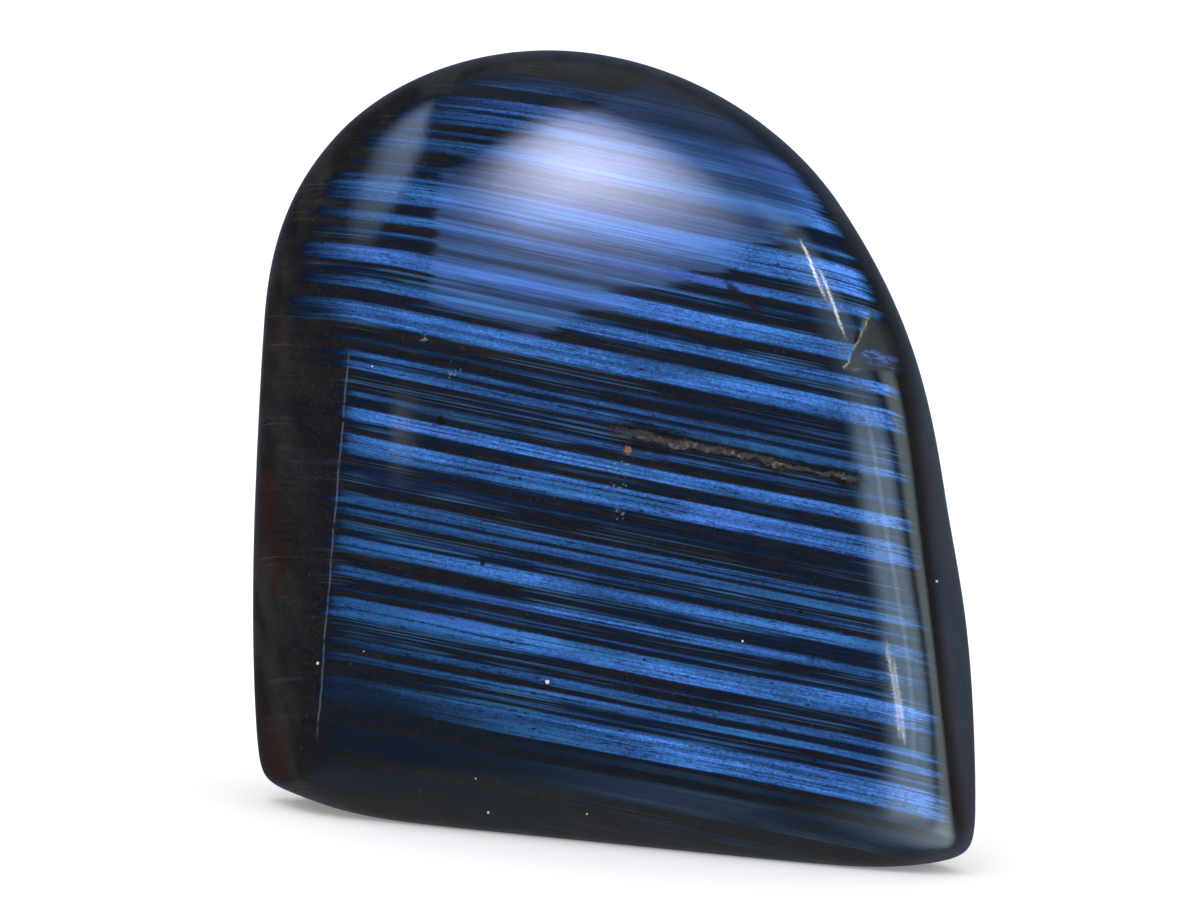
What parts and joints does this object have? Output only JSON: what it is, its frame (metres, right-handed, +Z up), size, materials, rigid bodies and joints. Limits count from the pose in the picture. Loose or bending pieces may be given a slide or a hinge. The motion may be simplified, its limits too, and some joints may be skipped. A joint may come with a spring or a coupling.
{
  "type": "labradorite freeform",
  "caption": "Polished freeform of labradorite: an arched slab of dark feldspar with a blue flash in fine stripes, ground on a few flats and sawn flat underneath so that it stands for display",
  "frame": {"origin": "on the surface that the stone stands on, under the middle of its bounding box", "axes": "+X to the right as the display face is seen, +Y into the depth of the stone, away from the display face, +Z up"},
  "size_m": [0.087, 0.0344, 0.089],
  "materials": {
    "stone": "polished"
  },
  "bodies": {
    "root": {"stone": "stone"}
  },
  "joints": []
}
